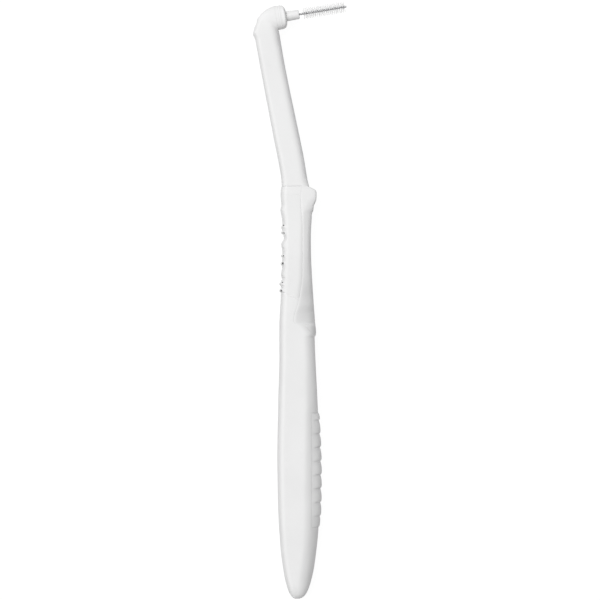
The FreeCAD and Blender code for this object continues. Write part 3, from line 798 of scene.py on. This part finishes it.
nozzle_profile = rounded([(2.30, 0.0), (2.30, 1.16), (2.55, 1.22), (2.70, 1.235), (3.4, 1.22), (5.50, 1.17), (5.72, 1.15),
                          (5.85, 1.02), (5.87, 0.70), (5.86, 0.34), (5.74, 0.28), (5.60, 0.0)], 2)
nozzle = turned("nozzle", nozzle_profile, 72)
dress(nozzle, insert_white, "brush_insert", "insert_plastic", "wire_sleeve")

# two twisted strands, one wire folded at the tip
STRAND, PITCH = 0.150, 0.95
t0, t1 = 5.0, 18.06 - 2 * STRAND
count = int((t1 - t0) / PITCH * 26)
ts = np.linspace(t0, t1, count)
phase = 2 * math.pi * (ts - t1) / PITCH


def strand_path(sign):
    return (SEAT + D * ts[:, None] + sign * STRAND * (np.cos(phase)[:, None] * ACROSS + np.sin(phase)[:, None] * ZAX))


turn = np.linspace(0, math.pi, 10)[1:-1]
bend = np.array([SEAT + D * (t1 + STRAND * math.sin(q)) + STRAND * math.cos(q) * ACROSS for q in turn])
path = np.concatenate([strand_path(1), bend, strand_path(-1)[::-1]])
tangent = np.gradient(path, axis=0)
tangent /= np.linalg.norm(tangent, axis=1, keepdims=True)
frame_n = np.cross(tangent[0], ZAX)
frame_n /= np.linalg.norm(frame_n)
rings = []
wseg = 10
wa = np.linspace(0, 2 * math.pi, wseg, endpoint=False)
for p, t in zip(path, tangent):
    frame_n = frame_n - t * np.dot(frame_n, t)
    frame_n /= np.linalg.norm(frame_n)
    other = np.cross(t, frame_n)
    rings.append(p + STRAND * (np.cos(wa)[:, None] * frame_n + np.sin(wa)[:, None] * other))
wire = tube_object("twisted_wire", np.array(rings))
dress(wire, steel, "brush_insert", "wire_steel", "brush_wire")

# nylon filaments held in the twist
rng = np.random.default_rng(7)
B0, B1, BR = 6.85, 17.55, 1.48
count = 430
fil_r = 0.028
verts, faces = [], []
seg, sides = 5, 5
fa = np.linspace(0, 2 * math.pi, sides, endpoint=False)
for k in range(count):
    t = B0 + (B1 - B0) * (k + rng.uniform(-0.4, 0.4)) / count
    t = min(max(t, B0), B1)
    base_angle = 2 * math.pi * (t - t1) / PITCH + math.pi / 2 + rng.normal(0, 0.16)
    for sign in (0.0, math.pi):
        a0 = base_angle + sign
        lean, curl = rng.normal(0, 0.05), rng.normal(0, 0.05)
        sway = rng.normal(0, 0.07)
        length = BR * rng.uniform(0.955, 1.0)
        start = len(verts)
        for i in range(seg + 1):
            f = i / seg
            rr = 0.05 + (length - 0.05) * f
            aa = a0 + sway * f * f
            tt = t + (lean * f + curl * f * f) * length
            tt = min(max(tt, 6.72), 17.78)
            c = SEAT + D * tt + rr * (math.cos(aa) * ACROSS + math.sin(aa) * ZAX)
            tang = -math.sin(aa) * ACROSS + math.cos(aa) * ZAX
            r_ = fil_r * (1.0 if i < seg else 0.7)
            for q in fa:
                verts.append(c + r_ * (math.cos(q) * D + math.sin(q) * tang))
        for i in range(seg):
            s0 = start + i * sides
            for j in range(sides):
                j2 = (j + 1) % sides
                faces.append((s0 + j, s0 + sides + j, s0 + sides + j2, s0 + j2))
        faces.append(tuple(start + j for j in range(sides)))
        faces.append(tuple(start + seg * sides + j for j in range(sides))[::-1])
verts = (np.array(verts) + SHIFT) * MM
filaments = new_object("filaments", verts, faces)
for p in filaments.data.polygons:
    p.use_smooth = True
dress(filaments, nylon, "brush_insert", "bristle_nylon", "bristles")

# ------------------------------------------------------------------ floor and light
floor = new_object("floor", [(-30, -30, -0.00002), (30, -30, -0.00002), (30, 30, -0.00002), (-30, 30, -0.00002)], [(0, 1, 2, 3)])
paper = bpy.data.materials.new("paper_floor")
paper.use_nodes = True
tree = paper.node_tree
shader = tree.nodes["Principled BSDF"]
shader.inputs["Roughness"].default_value = 0.9
shader.inputs["Specular IOR Level"].default_value = 0.1
shader.inputs["Base Color"].default_value = (0.10, 0.10, 0.10, 1)
shader.inputs["Emission Color"].default_value = (1, 1, 1, 1)
glow = node(tree, "ShaderNodeMapRange")
glow.inputs["To Min"].default_value, glow.inputs["To Max"].default_value = 0.59, 0.94
tree.links.new(node(tree, "ShaderNodeLightPath").outputs["Is Camera Ray"], glow.inputs["Value"])
tree.links.new(glow.outputs["Result"], shader.inputs["Emission Strength"])
floor.data.materials.append(paper)


def area_light(name, where, look, size, power, spread=180.0):
    data = bpy.data.lights.new(name, "AREA")
    data.shape = "DISK"
    data.size = size
    data.energy = power
    data.spread = math.radians(spread)
    obj = bpy.data.objects.new(name, data)
    bpy.context.scene.collection.objects.link(obj)
    obj.location = where
    direction = Vector(look) - Vector(where)
    obj.rotation_euler = direction.to_track_quat("-Z", "Y").to_euler()
    return obj


area_light("key", (-1.15, 0.82, 3.20), (0, 0, 0), 3.2, 113.0)

world = bpy.data.worlds.new("studio")
bpy.context.scene.world = world
world.use_nodes = True
world.node_tree.nodes["Background"].inputs["Color"].default_value = (1, 1, 1, 1)
world.node_tree.nodes["Background"].inputs["Strength"].default_value = 0.27

view = bpy.context.scene.view_settings
view.view_transform = "Standard"
view.look = "None"
view.exposure, view.gamma = 0.0, 1.0
